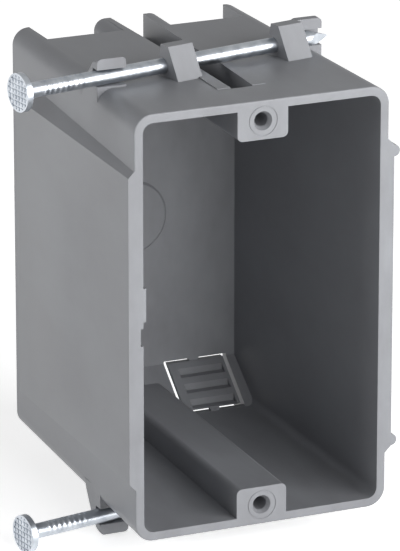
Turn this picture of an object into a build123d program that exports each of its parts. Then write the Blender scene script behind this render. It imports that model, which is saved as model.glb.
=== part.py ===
# Single-gang new-work wall box: one moulded PVC body and the two nails it is shipped with.
# X runs across the box (+X faces the stud), Y runs back from the open front, Z is up.
# The origin is midway between the two device-screw holes, in the plane of the front rim.
from math import atan, cos, degrees, radians, sin, tan
import os

from build123d import *

# Shell
front_w = 56.6          # rim width, outside
front_h = 92.0          # rim height, outside
depth = 72.2            # rim to the outside of the back wall
wall = 1.9
side_draft = 0.027      # each side wall leans in by this much per mm of depth
end_draft = 0.014       # the top and bottom walls lean in by less
front_corner_r = 4.0
back_corner_r = 3.5
fin_r = 2.5             # rounded outer edge of the fins beside each channel
core_front_r = 2.2
core_back_r = 1.5
rim_soften = 0.3        # moulded edge round the rim

# Back corners: the box is chamfered behind each clamp flap
bend_z = 34.9           # height inside at which the back wall turns into the chamfer
chamfer_deg = 37.5
chamfer_wall = 2.8
pocket_x0 = 7.6         # each cable pocket lies between these two widths
pocket_x1 = 22.5

# Clamp flaps, cut free by slots that run straight back, the way the mould opens
flap_gap = 0.85         # slot beside the flap
flap_end_gap = 0.6      # slot above and below it, seen from the front
flap_z0 = 35.0          # height of the flap, seen from the front
flap_z1 = 42.6
bridge_w = 2.2          # break-away bridges that hold the flap
upper_bridge_x = 15.4
lower_bridge_x = 14.8
louvre_x0 = 10.9
louvre_x1 = 21.3
louvre_slant = 1.6
louvre_len = 2.3
louvre_start = 2.0      # down the chamfer from its bend
louvre_pitch = 4.1
louvre_count = 3
louvre_h = 1.1
louvre_taper = 25

# Device-screw bosses and the open channels behind them
screw_spacing = 83.34   # single-gang device yoke
pilot_r = 1.45          # cored for a 6-32 screw
rings = (2.0, 3.1)      # faint rings round each hole
ring_w = 0.3
ring_depth = 0.12
boss_w = 11.2
boss_face_z = 37.7
boss_corner_r = 1.2
boss_len = 10.6         # solid plastic in front of the channel
channel_front_w = 4.8
channel_back_w = 7.6
rail_w = 10.6           # level rails either side of the channel, over both
rail_start = 11.0
rail_end = 36.0

# Side pads: level faces that stand off the leaning side walls
pad_x = 29.6
pad_half_z = 33.0
pad_edge = 4.0          # sloping edge, most of it inside the wall at the rim
pad_end = 62.0          # where the pad starts to run back into the wall
pad_fade = 8.0
bead_r = 1.25
bead_z = 31.7
bead_len = 5.0

# Nails
nail_r = 1.6
nail_len = 76.2
nail_turn_deg = 10.5    # the points lie further back than the heads
nail_y = 27.1           # depth of the nail where it crosses the middle of the box
nail_z = 47.9
head_out = 46.8         # head's outer face from the middle of the box, along the nail
head_r = 4.05
head_t = 1.3
neck_r = 2.3
neck_len = 1.6
point_len = 4.8
point_flat = 0.15
grip_count = 8
grip_pitch = 1.25
grip_start = 5.5
grip_len = 0.5
grip_w = 1.6
grip_depth = 0.12
check_count = 6
check_pitch = 1.15
check_groove = 0.4
check_depth = 0.18
check_r = 3.65

# Nail brackets; v is across the nail towards the back, w is away from the box
nail_clear = 0.05       # between shank and bracket, all round
hook_places = (-8.6, 18.9)
hook_len = 6.0
hook_foot_v = -6.4
hook_root_w = -3.5
hook_lip_v = -1.8
hook_back_v = 1.0
hook_top_w = 4.4
hook_base_v = 2.4
clip_x = 21.2           # inner side of the end clips
clip_len = 6.4
clip_left_y = 21.2      # front faces of the end clips
clip_right_y = 32.0
clip_root_z = 42.0
clip_top_z = 52.0
clip_mouth = 3.6
clip_corner_r = 1.0
left_roof = ((2.4, 50.9), (5.1, 48.2), (7.6, 44.3))
right_roof = ((1.9, 52.0), (3.0, 49.3), (5.6, 45.0))

# Small marks
puck_r = 8.3
puck_h = 0.5
tongue_z = 5.6
tongue_len = 7.2
tongue_proud = 0.6
tongue_back = 9.0
slit_z = -1.3
slit_len = 3.8
pin_r = 1.6
pin_depth = 0.15
pin_places = ((30.0, 12.0), (31.0, -22.0))

half_w = front_w / 2
half_h = front_h / 2
back_w = front_w - 2 * side_draft * depth
back_h = front_h - 2 * end_draft * depth
fin_top = back_h / 2
core_depth = depth - wall
core_back_w = front_w - 2 * (wall + side_draft * core_depth)
core_back_h = front_h - 2 * (wall + end_draft * core_depth)
lean = radians(chamfer_deg)
turn = radians(nail_turn_deg)
bore_r = nail_r + nail_clear
reach = 2 * front_w     # longer than anything it cuts

front = Plane.XZ
across = Vector(-sin(turn), cos(turn), 0)
along = Vector(cos(turn), sin(turn), 0)
nail_mid = Vector(0, nail_y, nail_z)
nail_axis = Axis(nail_mid, along)
nail_section = Plane(origin=nail_mid, x_dir=across, z_dir=along)
nail_side = Plane(origin=nail_mid, x_dir=along, z_dir=-across)
chamfer_face = Plane(
    origin=(0, core_depth, bend_z), x_dir=(-1, 0, 0), z_dir=(0, sin(lean), cos(lean))
)
pocket_mid = (pocket_x0 + pocket_x1) / 2
pocket_w = pocket_x1 - pocket_x0

# Cable pockets outside the chamfers, with the slots that free each clamp flap
with BuildPart() as pockets:
    with BuildSketch(front):
        with BuildLine():
            Line((pocket_x0, bend_z), (pocket_x0, fin_top - fin_r))
            JernArc((pocket_x0, fin_top - fin_r), tangent=(0, 1), radius=fin_r, arc_size=90)
            Polyline(
                (pocket_x0 - fin_r, fin_top),
                (pocket_x0 - fin_r, half_h),
                (pocket_x1, half_h),
                (pocket_x1, bend_z),
                (pocket_x0, bend_z),
            )
        make_face()
        mirror(about=Plane.YZ)
    extrude(amount=-depth - wall)
    with BuildSketch(chamfer_face.offset(chamfer_wall)):
        Rectangle(reach, 2 * reach)
    extrude(amount=-reach, mode=Mode.SUBTRACT)
    with BuildSketch(front.offset(-core_depth)):
        for side in (-1, 1):
            with Locations((side * pocket_mid, (flap_z0 + flap_z1) / 2)):
                Rectangle(pocket_w, flap_z1 - flap_z0 + 2 * flap_end_gap)
                Rectangle(pocket_w - 2 * flap_gap, flap_z1 - flap_z0, mode=Mode.SUBTRACT)
            with Locations((side * upper_bridge_x, flap_z1), (side * lower_bridge_x, flap_z0)):
                Rectangle(bridge_w, 4 * flap_end_gap, mode=Mode.SUBTRACT)
    extrude(amount=depth / 2, both=True)
    mirror(about=Plane.XY)

# Outer block, drafted from the rim to the back wall
with BuildPart() as shell:
    with BuildSketch(front):
        RectangleRounded(front_w, front_h, front_corner_r)
    with BuildSketch(front.offset(-depth)):
        RectangleRounded(back_w, back_h, back_corner_r)
    loft(ruled=True)
    fillet(shell.edges().group_by(Axis.Y)[0], rim_soften)

# Level pad on each side, running back into the wall before the back corners
with BuildPart() as pads:
    with BuildSketch(front) as pad_outline:
        Rectangle(2 * pad_x, 2 * (pad_half_z + pad_edge))
        chamfer(pad_outline.vertices(), pad_edge)
    extrude(amount=-depth)
    with BuildSketch(Plane.XY):
        with BuildLine():
            Polyline(
                (-pad_x, 0),
                (pad_x, 0),
                (pad_x, pad_end),
                (half_w - side_draft * depth, pad_end + pad_fade),
                (side_draft * depth - half_w, pad_end + pad_fade),
                (-pad_x, pad_end),
                close=True,
            )
        make_face()
    extrude(amount=half_h, both=True, mode=Mode.INTERSECT)
    with BuildSketch(front):
        with Locations((pad_x, bead_z), (pad_x, -bead_z)):
            Circle(bead_r)
    extrude(amount=-bead_len)

# What the mould's core fills: the wiring space, with both bosses and the chamfers left out
with BuildPart() as core:
    with BuildSketch(front):
        RectangleRounded(front_w - 2 * wall, front_h - 2 * wall, core_front_r)
    with BuildSketch(front.offset(-core_depth)):
        RectangleRounded(core_back_w, core_back_h, core_back_r)
    loft(ruled=True)
    with BuildSketch(chamfer_face):
        Rectangle(reach, reach)
    extrude(amount=reach, mode=Mode.SUBTRACT)
    with BuildSketch(front):
        with Locations((0, half_h)):
            RectangleRounded(boss_w, 2 * (half_h - boss_face_z), boss_corner_r)
    extrude(amount=-depth, mode=Mode.SUBTRACT)
    split(bisect_by=Plane.XY)
    mirror(about=Plane.XY)

# Louvre ribs that stiffen the flaps and bite on the cable
with BuildPart() as louvres:
    with BuildSketch(chamfer_face):
        for side in (-1, 1):
            for step in range(louvre_count):
                start = louvre_start + step * louvre_pitch
                with BuildLine():
                    Polyline(
                        (side * louvre_x0, start),
                        (side * louvre_x1, start),
                        (side * louvre_x1, start + louvre_len),
                        (side * (louvre_x0 - louvre_slant), start + louvre_len),
                        close=True,
                    )
                make_face()
    extrude(amount=-louvre_h, taper=louvre_taper)
    mirror(about=Plane.XY)

# The open channel behind each device screw, wider at the back so the mould draws
with BuildPart() as channels:
    with BuildSketch(Plane.XY.offset(boss_face_z + wall)):
        with BuildLine():
            Polyline(
                (-channel_front_w / 2, boss_len),
                (channel_front_w / 2, boss_len),
                (channel_back_w / 2, depth),
                (-channel_back_w / 2, depth),
                close=True,
            )
        make_face()
    extrude(amount=half_h)
    mirror(about=Plane.XY)

# Level rails along both sides of each channel
with BuildPart() as rails:
    with BuildSketch(Plane.XY.offset(half_h)):
        with Locations((0, (rail_start + rail_end) / 2)):
            Rectangle(rail_w, rail_end - rail_start)
    extrude(amount=-wall)
    mirror(about=Plane.XY)

# Hooks: a sloping post in front of the nail, a roof over it, open behind
with BuildPart() as brackets:
    for place in hook_places:
        with BuildSketch(nail_section.offset(place - hook_len / 2)):
            with BuildLine():
                Polyline(
                    (hook_foot_v, hook_root_w),
                    (hook_lip_v, hook_top_w),
                    (hook_back_v, hook_top_w),
                    (hook_base_v, hook_root_w),
                    close=True,
                )
            make_face()
            Circle(bore_r, mode=Mode.SUBTRACT)
            with Locations((hook_top_w, 0)):
                Rectangle(2 * hook_top_w, 2 * bore_r, mode=Mode.SUBTRACT)
        extrude(amount=hook_len)
    mirror(about=Plane.XY)

# End clips: open in front of the nail, with a spine behind it
with BuildPart() as clips:
    for side, clip_y, roof in ((-1, clip_left_y, left_roof), (1, clip_right_y, right_roof)):
        with BuildSketch(Plane.YZ.offset(side * (clip_x + clip_len / 2))):
            with BuildLine():
                Polyline(
                    (clip_y, clip_root_z),
                    (clip_y, clip_top_z),
                    *[(clip_y + back, height) for back, height in roof],
                    (clip_y + roof[-1][0] + 1, clip_root_z),
                    close=True,
                )
            make_face()
        extrude(amount=clip_len / 2, both=True)
    with BuildSketch(front):
        for side in (-1, 1):
            with Locations((side * (clip_x + clip_len / 2), clip_root_z)):
                RectangleRounded(clip_len, 2 * (clip_top_z - clip_root_z), clip_corner_r)
    extrude(amount=-depth, mode=Mode.INTERSECT)
    with BuildSketch(nail_section):
        with Locations((bore_r - reach / 2, 0)):
            Rectangle(reach, clip_mouth)
    extrude(amount=half_w + head_out, both=True, mode=Mode.SUBTRACT)
    mirror(about=Plane.XY)

# The whole moulding
with BuildPart() as box_body:
    add(shell.part)
    add(pads.part)
    add(brackets.part)
    add(clips.part)
    add(rails.part)
    add(core.part, mode=Mode.SUBTRACT)
    add(channels.part, mode=Mode.SUBTRACT)
    add(pockets.part, mode=Mode.SUBTRACT)
    add(louvres.part)
    with BuildSketch(front.offset(-core_depth)):
        Circle(puck_r)
    extrude(amount=puck_h, taper=45)
    with BuildSketch(front):
        with Locations((wall - half_w, tongue_z)):
            Rectangle(2 * tongue_proud, tongue_len)
    extrude(amount=-tongue_back)
    with BuildSketch(front):
        with Locations((wall - half_w, slit_z)):
            Rectangle(2 * tongue_proud, slit_len)
    extrude(amount=-tongue_back, mode=Mode.SUBTRACT)
    with BuildSketch(front):
        with GridLocations(0, screw_spacing, 1, 2):
            Circle(pilot_r)
    extrude(amount=-boss_len - wall, mode=Mode.SUBTRACT)
    with BuildSketch(front):
        with GridLocations(0, screw_spacing, 1, 2):
            for ring in rings:
                Circle(ring + ring_w / 2)
                Circle(ring - ring_w / 2, mode=Mode.SUBTRACT)
    extrude(amount=-ring_depth, mode=Mode.SUBTRACT)
    with BuildSketch(Plane.YZ.offset(-pad_x)):
        with Locations(*pin_places):
            Circle(pin_r)
    extrude(amount=pin_depth, mode=Mode.SUBTRACT)

# A nail: checkered head, short cone under it, gripped shank and four-sided cut point
with BuildPart() as upper_nail:
    with BuildSketch(nail_side):
        with BuildLine():
            Polyline(
                (-head_out, 0),
                (-head_out, head_r),
                (head_t - head_out, head_r),
                (head_t - head_out, neck_r),
                (head_t + neck_len - head_out, nail_r),
                (nail_len - head_out, nail_r),
                (nail_len - head_out, 0),
                close=True,
            )
        make_face()
    revolve(axis=nail_axis)
    with BuildSketch(nail_section.offset(-head_out)):
        with GridLocations(check_pitch, 0, check_count, 1):
            Rectangle(check_groove, 2 * head_r)
        with GridLocations(0, check_pitch, 1, check_count):
            Rectangle(2 * head_r, check_groove)
        Circle(check_r, mode=Mode.INTERSECT)
    extrude(amount=check_depth, mode=Mode.SUBTRACT)
    with BuildSketch(nail_side):
        with Locations((grip_start + grip_pitch * grip_count / 2 - head_out, 0)):
            with GridLocations(grip_pitch, 2 * nail_r, grip_count, 2):
                Rectangle(grip_len, 2 * grip_depth)
    extrude(amount=grip_w / 2, both=True, mode=Mode.SUBTRACT)
    with BuildSketch(nail_section.offset(nail_len - head_out - point_len)):
        Rectangle(2 * reach, 2 * reach)
        Rectangle(2 * nail_r, 2 * nail_r, mode=Mode.SUBTRACT)
    extrude(amount=point_len, taper=-degrees(atan((nail_r - point_flat) / point_len)),
            mode=Mode.SUBTRACT)

with BuildPart() as lower_nail:
    mirror(upper_nail.part, about=Plane.XY)

os.makedirs("parts", exist_ok=True)
box_body.part.label = "box_body"
upper_nail.part.label = "upper_nail"
lower_nail.part.label = "lower_nail"
export_step(box_body.part, "parts/box_body.step")
export_step(upper_nail.part, "parts/upper_nail.step")
export_step(lower_nail.part, "parts/lower_nail.step")
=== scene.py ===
import bpy
import math
from mathutils import Matrix, Vector


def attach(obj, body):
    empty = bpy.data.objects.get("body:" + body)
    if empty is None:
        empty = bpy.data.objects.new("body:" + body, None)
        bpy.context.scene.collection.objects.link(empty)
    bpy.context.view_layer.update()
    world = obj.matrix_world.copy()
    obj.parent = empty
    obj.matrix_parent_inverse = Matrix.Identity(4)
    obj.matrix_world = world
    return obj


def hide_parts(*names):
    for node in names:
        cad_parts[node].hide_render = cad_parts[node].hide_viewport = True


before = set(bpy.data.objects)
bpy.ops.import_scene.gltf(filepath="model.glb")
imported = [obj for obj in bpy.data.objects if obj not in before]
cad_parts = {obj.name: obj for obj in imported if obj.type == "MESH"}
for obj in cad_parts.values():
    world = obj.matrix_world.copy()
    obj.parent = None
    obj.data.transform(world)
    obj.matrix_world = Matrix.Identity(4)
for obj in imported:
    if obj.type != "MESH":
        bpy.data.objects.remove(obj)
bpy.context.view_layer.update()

scene = bpy.context.scene

# Moulded box: the shell with its screw bosses, side pads, hooks and clips, in rigid grey PVC.
# It leaves the mould in one shot, so it is one piece here, and it starts as a copy of the solid.
# Two faint round marks on the left pad are levelled first. Sizes here are in metres.
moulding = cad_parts["box_body"]
box = bpy.data.objects.new("moulded_box", moulding.data.copy())
scene.collection.objects.link(box)
together = 0.000001             # corners nearer than this are one corner
pad_face_x = -0.0296
mark_depth = 0.00015
mark_places = ((0.030, 0.012), (0.031, -0.022))     # each is (back, up)
mark_reach = 0.00165            # just past the edge of a mark
level = 0.00001                 # corners this near the floor of a mark lie in it


def take_up(piece):
    """Select one piece alone and make it the one that is worked on."""
    bpy.ops.object.select_all(action="DESELECT")
    piece.select_set(True)
    bpy.context.view_layer.objects.active = piece


take_up(box)
bpy.ops.object.mode_set(mode="EDIT")
bpy.ops.mesh.select_all(action="SELECT")
bpy.ops.mesh.remove_doubles(threshold=together)
bpy.ops.mesh.customdata_custom_splitnormals_clear()
bpy.ops.mesh.select_all(action="DESELECT")
bpy.ops.object.mode_set(mode="OBJECT")
for vertex in box.data.vertices:
    at_floor = abs(vertex.co.x - pad_face_x - mark_depth) < level
    vertex.select = at_floor and any(
        math.hypot(vertex.co.y - y, vertex.co.z - z) < mark_reach for y, z in mark_places
    )
bpy.ops.object.mode_set(mode="EDIT")
bpy.ops.mesh.select_mode(type="VERT")
bpy.ops.transform.translate(value=(-mark_depth, 0, 0))
bpy.ops.mesh.select_all(action="SELECT")
bpy.ops.mesh.remove_doubles(threshold=together)
bpy.ops.object.mode_set(mode="OBJECT")

# Clamp flaps: four PVC tongues in the back corners, each held by two thin bridges until it is used.
# Each carries three louvres, moulded in the draw direction: an upright riser, a level tread behind
# it, and a barb outside that bites on the cable. Sizes are in millimetres until the box is done.
per_metre = 1000
box.data.transform(Matrix.Scale(per_metre, 4))
lean = math.radians(37.5)       # of the flap faces
bend_y, bend_z = 70.3, 34.9     # where the back wall turns into the flap


def wedge(side, end, widths, outline):
    """Add a prism across a flap: its outline is (down the slope, out of the box)."""
    bpy.ops.object.select_all(action="DESELECT")
    bpy.ops.mesh.primitive_cube_add(size=2)
    prism = bpy.context.object
    corners = dict(zip(((-1, -1), (1, -1), (1, 1), (-1, 1)), outline))
    for vertex in prism.data.vertices:
        down, out = corners[(round(vertex.co.y), round(vertex.co.z))]
        vertex.co = (
            side * (widths[0] if vertex.co.x < 0 else widths[1]),
            bend_y - math.cos(lean) * down + math.sin(lean) * out,
            end * (bend_z + math.sin(lean) * down + math.cos(lean) * out),
        )
    bpy.ops.object.mode_set(mode="EDIT")
    bpy.ops.mesh.select_all(action="SELECT")
    bpy.ops.mesh.normals_make_consistent(inside=False)
    bpy.ops.object.mode_set(mode="OBJECT")
    return prism


def combine(tool, operation):
    """Cut a tool out of the box, or fuse it to the box, and drop the tool."""
    change = box.modifiers.new("change", "BOOLEAN")
    change.operation = operation
    change.solver = "EXACT"
    change.object = tool
    bpy.context.view_layer.objects.active = box
    bpy.ops.object.modifier_apply(modifier=change.name)
    bpy.data.objects.remove(tool)


# The solid's flaps are thick and have plain ribs: both are cut away, from behind and in front
flap_widths = (7.6, 22.5)       # inner and outer side, from the middle of the box
flap_top, flap_foot = -1.6, 12.7    # its ends, down the slope from the bend
skin = 0.8                      # thickness left in the flap
past = 3.4                      # a little past the outer face
thinning = ((flap_top, skin), (flap_foot, skin), (flap_foot, past), (flap_top, past))
rib_widths = (8.6, 21.5)
rib_top, rib_foot = 0.6, 12.4
rib_crest = -1.7                # past the ribs' highest line
rib_root = -0.03                # just clear of the flap's face, so that no cut lies in it
ribs = ((rib_top, rib_crest), (rib_foot, rib_crest), (rib_foot, rib_root), (rib_top, rib_root))

# A louvre's notch is cut from inside, and the barb behind it keeps the wall whole
riser = 1.5
tread = riser * math.cos(lean) / math.sin(lean)
notch_down, notch_out = riser * math.sin(lean), riser * math.cos(lean)      # its deepest corner
notch_mouth = notch_down + tread * math.cos(lean)
notch_flat = 0.01               # the deepest corner is this wide
notch_widths = (10.4, 20.9)
over = 0.2                      # the cuts start this far above the face
barb_widths = (10.0, 21.2)
barb_wall = 0.7                 # wall left behind each notch
barb_tip = 0.5                  # blunt end of the barb
barb_shift = 0.1                # the barb's foot starts this far below the notch
louvre_starts = (1.8, 5.9, 10.0)    # down the slope
for side in (-1, 1):
    for end in (-1, 1):
        combine(wedge(side, end, flap_widths, thinning), "DIFFERENCE")
        combine(wedge(side, end, rib_widths, ribs), "DIFFERENCE")
        for start in louvre_starts:
            barb = (
                (start + barb_shift, skin / 2), (start + notch_mouth + barb_shift, skin / 2),
                (start + notch_down + barb_tip, notch_out + barb_wall),
                (start + notch_down, notch_out + barb_wall),
            )
            combine(wedge(side, end, barb_widths, barb), "UNION")
            notch = (
                (start - over * math.tan(lean), -over),
                (start + notch_mouth + over / math.tan(lean), -over),
                (start + notch_down + notch_flat, notch_out), (start + notch_down, notch_out),
            )
            combine(wedge(side, end, notch_widths, notch), "DIFFERENCE")

# Screw holes: one in each front boss, cored in the mould for a device screw.
# Each gets a small cone at its mouth, which guides the screw in.
screw_z = 41.67
lead_in_mouth_r, lead_in_end_r, lead_in_depth = 2.1, 1.4, 1.2
lead_in_front = -0.1            # the cone starts just in front of the rim
for end in (-1, 1):
    bpy.ops.object.select_all(action="DESELECT")
    bpy.ops.mesh.primitive_cone_add(
        vertices=48, radius1=lead_in_mouth_r, radius2=lead_in_end_r, depth=lead_in_depth,
        location=(0, lead_in_front + lead_in_depth / 2, end * screw_z),
        rotation=(-math.pi / 2, 0, 0),
    )
    lead_in = bpy.context.object
    bpy.ops.object.transform_apply(location=True, rotation=True, scale=True)
    combine(lead_in, "DIFFERENCE")

# The moulding is whole: back to metres, with its corners merged and its soft bends shaded smooth
soft_bend = math.radians(25)
box.data.transform(Matrix.Scale(1 / per_metre, 4))
take_up(box)
bpy.ops.object.mode_set(mode="EDIT")
bpy.ops.mesh.select_all(action="SELECT")
bpy.ops.mesh.remove_doubles(threshold=together)
bpy.ops.mesh.dissolve_degenerate(threshold=together)
bpy.ops.object.mode_set(mode="OBJECT")
bpy.ops.object.shade_smooth_by_angle(angle=soft_bend)

# Grey PVC, for the whole moulding: rigid PVC as it leaves the mould, with a light satin skin.
# Slow bands across the draw give the grey a little depth, as melt flow does, and a fine grain
# breaks the shine. The grain is drawn as coarse as it needs to be to show. Sizes are millimetres.
flow_width = 9.09               # of one band of melt flow
grain_width = 0.4545            # of one grain


def linear(code):
    """Turn an sRGB hex code into a linear RGBA colour."""
    parts = [int(code[i:i + 2], 16) / 255 for i in (1, 3, 5)]
    return [p / 12.92 if p <= 0.04045 else ((p + 0.055) / 1.055) ** 2.4 for p in parts] + [1.0]


def add_node(tree, kind, inputs=None, **settings):
    """Add one shader node; each input takes a plain value or the socket that feeds it."""
    node = tree.nodes.new(kind)
    for name, value in settings.items():
        setattr(node, name, value)
    for place, value in (inputs or {}).items():
        if isinstance(value, bpy.types.NodeSocket):
            tree.links.new(value, node.inputs[place])
        else:
            node.inputs[place].default_value = value
    return node


pvc = bpy.data.materials.new("grey_pvc")
pvc.use_nodes = True
tree = pvc.node_tree
surface = tree.nodes["Principled BSDF"]
surface.inputs["IOR"].default_value = 1.5
coords = add_node(tree, "ShaderNodeTexCoord")
stretch = add_node(tree, "ShaderNodeMapping", {
    "Vector": coords.outputs["Object"], "Scale": (1.0, 0.3, 0.5),
})
flow = add_node(tree, "ShaderNodeTexNoise", {
    "Vector": stretch.outputs["Vector"], "Scale": per_metre / flow_width,
    "Detail": 4.0, "Roughness": 0.6,
})
tone = add_node(tree, "ShaderNodeValToRGB", {"Fac": flow.outputs["Fac"]})
for stop, place, code in zip(tone.color_ramp.elements, (0.3, 0.7), ("#78797D", "#84868A")):
    stop.position = place
    stop.color = linear(code)
tree.links.new(tone.outputs["Color"], surface.inputs["Base Color"])
satin = add_node(tree, "ShaderNodeMapRange", {
    "Value": flow.outputs["Fac"], "To Min": 0.36, "To Max": 0.5,
})
tree.links.new(satin.outputs["Result"], surface.inputs["Roughness"])
grain = add_node(tree, "ShaderNodeTexNoise", {
    "Vector": coords.outputs["Object"], "Scale": per_metre / grain_width, "Detail": 2.0,
})
bump = add_node(tree, "ShaderNodeBump", {
    "Height": grain.outputs["Fac"], "Strength": 0.1, "Distance": 0.0001,
})
tree.links.new(bump.outputs["Normal"], surface.inputs["Normal"])
for piece in (moulding, box):
    piece.data.materials.clear()
    piece.data.materials.append(pvc)
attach(box, "root")
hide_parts("box_body")

# Two nails: drawn steel wire, zinc plated, its shine left a little uneven by the bath.
# They are pushed through the hooks and clips along their own length.
# Fine rings are rolled into the shank behind each head, and are a bump here. Sizes are millimetres.
nail_turn = math.radians(10.5)
bath_width = 2.0                # of one cloud in the plate
ring_pitch = 1.25
ring_middle = -31.4             # middle of the ringed length, along the nail
ring_reach = 5.0                # half of that length
zinc = bpy.data.materials.new("zinc_plated_steel")
zinc.use_nodes = True
tree = zinc.node_tree
surface = tree.nodes["Principled BSDF"]
surface.inputs["Metallic"].default_value = 1.0
coords = add_node(tree, "ShaderNodeTexCoord")
plate = add_node(tree, "ShaderNodeTexNoise", {
    "Vector": coords.outputs["Object"], "Scale": per_metre / bath_width, "Detail": 3.0,
})
tone = add_node(tree, "ShaderNodeValToRGB", {"Fac": plate.outputs["Fac"]})
for stop, place, code in zip(tone.color_ramp.elements, (0.3, 0.7), ("#B4BAC2", "#CFD4DA")):
    stop.position = place
    stop.color = linear(code)
tree.links.new(tone.outputs["Color"], surface.inputs["Base Color"])
sheen = add_node(tree, "ShaderNodeMapRange", {
    "Value": plate.outputs["Fac"], "To Min": 0.24, "To Max": 0.42,
})
tree.links.new(sheen.outputs["Result"], surface.inputs["Roughness"])
along = add_node(tree, "ShaderNodeVectorMath", {
    0: coords.outputs["Object"], 1: (math.cos(nail_turn), math.sin(nail_turn), 0),
}, operation="DOT_PRODUCT")
turns = add_node(tree, "ShaderNodeMath", {
    0: along.outputs["Value"], 1: 2 * math.pi * per_metre / ring_pitch,
}, operation="MULTIPLY")
wave = add_node(tree, "ShaderNodeMath", {0: turns.outputs["Value"]}, operation="SINE")
ringed = add_node(tree, "ShaderNodeMath", {
    0: along.outputs["Value"], 1: ring_middle / per_metre, 2: ring_reach / per_metre,
}, operation="COMPARE")
rings = add_node(tree, "ShaderNodeMath", {
    0: wave.outputs["Value"], 1: ringed.outputs["Value"],
}, operation="MULTIPLY")
bump = add_node(tree, "ShaderNodeBump", {
    "Height": rings.outputs["Value"], "Strength": 0.4, "Distance": 0.0001,
})
tree.links.new(bump.outputs["Normal"], surface.inputs["Normal"])
for name in ("upper_nail", "lower_nail"):
    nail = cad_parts[name]
    nail.data.materials.clear()
    nail.data.materials.append(zinc)

# Floor: a plain sheet of white paper, laid just under the lowest bracket.
# It glows only for the camera and in reflections, so it is white and still takes the shadow.
floor_size = 12
floor_z = -0.0525
bpy.ops.object.select_all(action="DESELECT")
bpy.ops.mesh.primitive_plane_add(size=floor_size, location=(0, 0, 0))
floor = bpy.context.object
floor.name = "floor"
bpy.ops.object.mode_set(mode="EDIT")
bpy.ops.mesh.select_all(action="SELECT")
bpy.ops.transform.translate(value=(0, 0, floor_z))
bpy.ops.object.mode_set(mode="OBJECT")
paper = bpy.data.materials.new("white_paper")
paper.use_nodes = True
tree = paper.node_tree
surface = tree.nodes["Principled BSDF"]
surface.inputs["Base Color"].default_value = linear("#F4F4F4")
surface.inputs["Roughness"].default_value = 0.9
surface.inputs["Specular IOR Level"].default_value = 0.1
surface.inputs["Emission Color"].default_value = linear("#FFFFFF")
glow_power = 0.62
path = add_node(tree, "ShaderNodeLightPath")
seen = add_node(tree, "ShaderNodeMath", {
    0: path.outputs["Is Camera Ray"], 1: path.outputs["Is Glossy Ray"],
}, operation="MAXIMUM")
clear = add_node(tree, "ShaderNodeMath", {
    0: seen.outputs["Value"], 1: path.outputs["Is Transmission Ray"],
}, operation="MAXIMUM")
glow = add_node(tree, "ShaderNodeMath", {
    0: clear.outputs["Value"], 1: glow_power,
}, operation="MULTIPLY")
tree.links.new(glow.outputs["Value"], surface.inputs["Emission Strength"])
floor.data.materials.append(paper)

# Light: one broad soft box in front and to the right, a small one behind the left side,
# and a dim even room that polished metal sees a little brighter.
room_power = 0.13
room_shine = 0.4                # added to the room in reflections
world = bpy.data.worlds.new("room")
scene.world = world
world.use_nodes = True
tree = world.node_tree
sky = tree.nodes["Background"]
sky.inputs["Color"].default_value = linear("#FFFFFF")
path = add_node(tree, "ShaderNodeLightPath")
strength = add_node(tree, "ShaderNodeMath", {
    0: path.outputs["Is Glossy Ray"], 1: room_shine, 2: room_power,
}, operation="MULTIPLY_ADD")
tree.links.new(strength.outputs["Value"], sky.inputs["Strength"])
for name, azimuth, elevation, distance, size, power in (
    ("front_box", 26, 4, 1.2, 1.5, 50.0),
    ("left_box", -100, 16, 1.0, 0.7, 4.8),
):
    turn, rise = math.radians(azimuth), math.radians(elevation)
    away = Vector((
        math.sin(turn) * math.cos(rise), -math.cos(turn) * math.cos(rise), math.sin(rise),
    ))
    light = bpy.data.lights.new(name, "AREA")
    light.shape = "SQUARE"
    light.size = size
    light.energy = power
    lamp = bpy.data.objects.new(name, light)
    lamp.location = away * distance
    lamp.rotation_euler = away.to_track_quat("Z", "Y").to_euler()
    scene.collection.objects.link(lamp)

# Camera: a long lens about a metre off, which looks from the left and a little above.
# Its place and turn were found by fitting the part's outline to the one in the photo.
camera = bpy.data.cameras.new("camera")
camera.sensor_fit = "HORIZONTAL"
camera.sensor_width = 36
camera.lens = 462.2
eye = bpy.data.objects.new("camera", camera)
eye.location = (-0.4047, -0.90992, 0.34624)
eye.rotation_euler = (math.radians(71.268), math.radians(0.012), math.radians(-23.247))
scene.collection.objects.link(eye)
scene.camera = eye
scene.view_settings.view_transform = "Standard"
